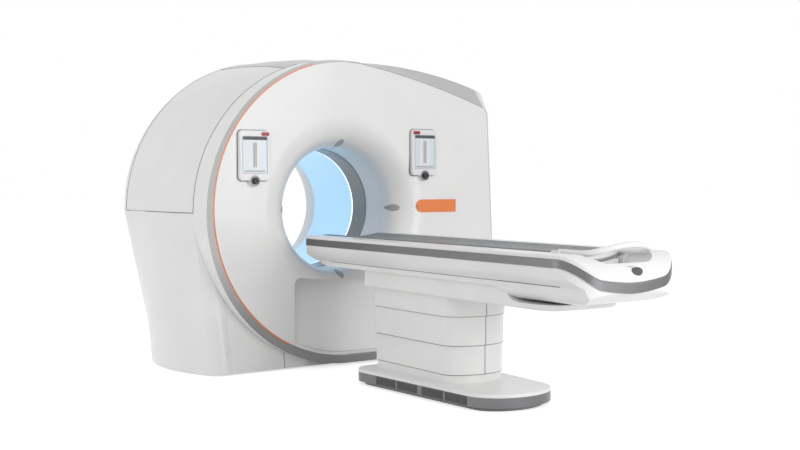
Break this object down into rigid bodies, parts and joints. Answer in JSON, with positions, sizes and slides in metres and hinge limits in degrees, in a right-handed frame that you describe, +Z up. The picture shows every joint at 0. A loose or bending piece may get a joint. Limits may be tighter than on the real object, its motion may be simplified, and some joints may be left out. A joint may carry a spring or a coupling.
{
  "type": "ct scanner",
  "caption": "Computed tomography scanner: a ring gantry with a flared bore and a spinning rotor inside, and a patient table that lifts and slides its cradle into the bore.",
  "frame": {"origin": "on the floor under the middle of the bore, in the scan plane, on the gantry's middle foot", "axes": "+Z up, +Y along the bore into the gantry, +X to the right of someone facing the gantry's front"},
  "size_m": [2.3692, 3.851, 2.043],
  "materials": {
    "cover_white": "warm white satin paint on moulded covers",
    "trim_grey": "mid grey satin trim",
    "silver": "brushed silver",
    "accent_orange": "orange gloss",
    "tunnel_blue": "pale blue lit tunnel skin",
    "light_blue": "light diffuser",
    "bore_silver": "dark silver bore ring",
    "window_grey": "smoked window",
    "panel_white": "white panel housing",
    "screen": "lit screen",
    "dial_black": "black knob",
    "stop_red": "dark red button",
    "frame_steel": "grey painted steel",
    "machined_steel": "machined steel",
    "rotor_aluminium": "cast and machined aluminium",
    "unit_grey": "grey painted housing",
    "pad_grey": "grey-blue mat with a wipe-clean skin",
    "cradle_grey": "grey laminate",
    "inset_dark": "dark recess",
    "pedal_grey": "dark grey rubber",
    "foot_rubber": "black foot"
  },
  "bodies": {
    "stand": {"front_cover": "cover_white", "front_trim_band": "trim_grey", "accent_strip": "accent_orange", "dock_panel": "cover_white", "lower_left_side_cover": "cover_white", "upper_left_side_cover": "cover_white", "top_cover": "trim_grey", "upper_right_side_cover": "cover_white", "lower_right_side_cover": "cover_white", "rear_cover": "cover_white", "base_front_left_cover": "cover_white", "base_front_middle_cover": "cover_white", "tunnel_liner": "tunnel_blue", "bore_light_ring": "light_blue", "bore_trim_ring": "bore_silver", "laser_windows": "window_grey", "accent_tab": "accent_orange", "gantry_frame": "frame_steel", "gantry_feet": "foot_rubber", "bearing_outer_race": "machined_steel", "drive_stator": "frame_steel", "left_panel_housing": "panel_white", "left_panel_screen": "screen", "right_panel_housing": "panel_white", "right_panel_screen": "screen", "column_collar": "cover_white", "lift_tube_lower": "machined_steel", "table_base_plate": "frame_steel", "base_edge_band": "silver", "base_top_cover": "cover_white"},
    "rotor": {"rotor_drum": "rotor_aluminium", "bearing_inner_race": "machined_steel", "slip_ring": "unit_grey", "drive_rotor": "machined_steel", "xray_tube": "unit_grey", "collimator": "unit_grey", "detector_array": "unit_grey", "high_voltage_generator": "unit_grey", "heat_exchanger": "unit_grey"},
    "left_dial": {"left_jog_dial": "dial_black"},
    "right_dial": {"right_jog_dial": "dial_black"},
    "left_stop": {"left_stop_button": "stop_red"},
    "right_stop": {"right_stop_button": "stop_red"},
    "table": {"table_boat": "cover_white", "table_side_rail": "silver", "tail_inset": "inset_dark", "cradle_rails": "machined_steel", "undercarriage": "cover_white", "column_cover_top": "cover_white", "lift_tube_upper": "machined_steel"},
    "column_middle": {"column_cover_middle": "cover_white"},
    "column_low": {"column_cover_low": "cover_white"},
    "lift_middle": {"lift_tube_middle": "machined_steel"},
    "cradle": {"cradle": "cradle_grey", "cradle_pad": "pad_grey", "cradle_handle": "cover_white"},
    "pedal_1": {"foot_pedal_1": "pedal_grey"},
    "pedal_2": {"foot_pedal_2": "pedal_grey"},
    "pedal_3": {"foot_pedal_3": "pedal_grey"},
    "pedal_4": {"foot_pedal_4": "pedal_grey"}
  },
  "joints": [
    {"name": "rotor_spin", "type": "hinge", "parent": "stand", "child": "rotor", "pos_m": [0, 0.09, 1.017], "axis": [0, 1, 0], "continuous": true},
    {"name": "left_dial_turn", "type": "hinge", "parent": "stand", "child": "left_dial", "pos_m": [-0.685, -0.885, 1.198], "axis": [0, 1, 0], "continuous": true},
    {"name": "right_dial_turn", "type": "hinge", "parent": "stand", "child": "right_dial", "pos_m": [0.595, -0.885, 1.234], "axis": [0, 1, 0], "continuous": true},
    {"name": "left_stop_press", "type": "slide", "parent": "stand", "child": "left_stop", "axis": [0, 1, 0], "range_m": [0, 0.005], "stiffness_N_per_m": 900},
    {"name": "right_stop_press", "type": "slide", "parent": "stand", "child": "right_stop", "axis": [0, 1, 0], "range_m": [0, 0.005], "stiffness_N_per_m": 900},
    {"name": "table_lift", "type": "slide", "parent": "stand", "child": "table", "axis": [0, 0, 1], "range_m": [-0.36, 0.05]},
    {"name": "column_middle_slide", "type": "slide", "parent": "stand", "child": "column_middle", "axis": [0, 0, 1], "range_m": [-0.20016, 0.0278]},
    {"name": "column_low_slide", "type": "slide", "parent": "stand", "child": "column_low", "axis": [0, 0, 1], "range_m": [-0.03996, 0.00555]},
    {"name": "lift_middle_slide", "type": "slide", "parent": "stand", "child": "lift_middle", "axis": [0, 0, 1], "range_m": [-0.18, 0.025]},
    {"name": "cradle_slide", "type": "slide", "parent": "table", "child": "cradle", "axis": [0, 1, 0], "range_m": [0, 1.65]},
    {"name": "pedal_1_press", "type": "slide", "parent": "stand", "child": "pedal_1", "axis": [0.9981, 0.0614, 0], "range_m": [0, 0.006], "stiffness_N_per_m": 2500},
    {"name": "pedal_2_press", "type": "slide", "parent": "stand", "child": "pedal_2", "axis": [0.9981, 0.0614, 0], "range_m": [0, 0.006], "stiffness_N_per_m": 2500},
    {"name": "pedal_3_press", "type": "slide", "parent": "stand", "child": "pedal_3", "axis": [0.9981, 0.0614, 0], "range_m": [0, 0.006], "stiffness_N_per_m": 2500},
    {"name": "pedal_4_press", "type": "slide", "parent": "stand", "child": "pedal_4", "axis": [0.9981, 0.0614, 0], "range_m": [0, 0.006], "stiffness_N_per_m": 2500}
  ],
  "couplings": [
    {"joint": "column_middle_slide", "follows": "table_lift", "ratio": 0.556},
    {"joint": "column_low_slide", "follows": "table_lift", "ratio": 0.111},
    {"joint": "lift_middle_slide", "follows": "table_lift", "ratio": 0.5}
  ]
}
